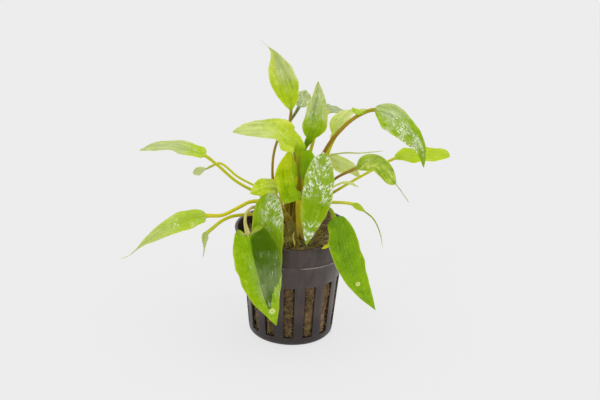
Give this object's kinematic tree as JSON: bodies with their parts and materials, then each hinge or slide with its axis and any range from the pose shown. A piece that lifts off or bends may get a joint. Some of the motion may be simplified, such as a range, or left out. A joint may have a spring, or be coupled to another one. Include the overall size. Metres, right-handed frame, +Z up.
{
  "type": "potted cryptocoryne",
  "caption": "Young cryptocoryne water plant with pointed, arching green leaves, rooted in rockwool in a black slotted net pot.",
  "frame": {"origin": "centre of the pot's flat base, on the pot's axis", "axes": "+Z up along the pot's axis; -Y is the front, where the largest leaves hang down; +X is the viewer's right"},
  "size_m": [0.149, 0.0736, 0.14],
  "materials": {
    "net_pot": "satin",
    "rockwool": "matte",
    "crown": "matte",
    "leaf_light": "satin",
    "leaf_fresh": "satin",
    "leaf_wet": "gloss",
    "leaf_deep": "satin",
    "leaf_grey": "satin"
  },
  "bodies": {
    "root": {"net_pot": "net_pot", "rockwool": "rockwool", "crown": "crown", "leaf_crest": "leaf_light", "leaf_crest_back": "leaf_grey", "leaf_centre_high": "leaf_fresh", "leaf_back_low": "leaf_grey", "leaf_back_pale": "leaf_light", "leaf_high_left": "leaf_light", "leaf_high_right": "leaf_wet", "leaf_left_high": "leaf_fresh", "leaf_left_back": "leaf_fresh", "leaf_left_front": "leaf_wet", "leaf_left_hook": "leaf_fresh", "leaf_left_low": "leaf_deep", "leaf_far_right": "leaf_fresh", "leaf_right_arch": "leaf_deep", "leaf_right_edge_on": "leaf_fresh", "leaf_right_back": "leaf_grey", "leaf_right_droop": "leaf_fresh", "leaf_right_small": "leaf_light", "leaf_centre": "leaf_deep", "leaf_centre_left": "leaf_light", "leaf_front_wet": "leaf_wet", "leaf_front_left_upper": "leaf_wet", "leaf_front_left": "leaf_wet", "leaf_front_right": "leaf_fresh", "young_shoot": "leaf_light"}
  },
  "joints": []
}
